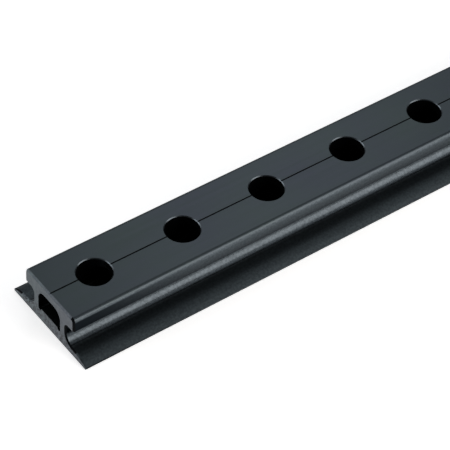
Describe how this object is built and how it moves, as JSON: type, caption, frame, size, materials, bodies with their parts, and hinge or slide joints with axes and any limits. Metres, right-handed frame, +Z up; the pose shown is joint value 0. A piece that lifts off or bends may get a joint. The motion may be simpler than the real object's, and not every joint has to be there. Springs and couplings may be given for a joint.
{
  "type": "sail track section",
  "caption": "Length of hollow black anodised aluminium sail track with an overhanging head, a wide flat base and a row of stop holes along its top.",
  "frame": {"origin": "middle of the flat base", "axes": "+X along the track, +Y across it, +Z up from the base to the drilled top"},
  "size_m": [0.6, 0.06, 0.024],
  "materials": {
    "anodised_aluminium": "satin black anodised, with paler sawn ends"
  },
  "bodies": {
    "root": {"track_section": "anodised_aluminium"}
  },
  "joints": []
}
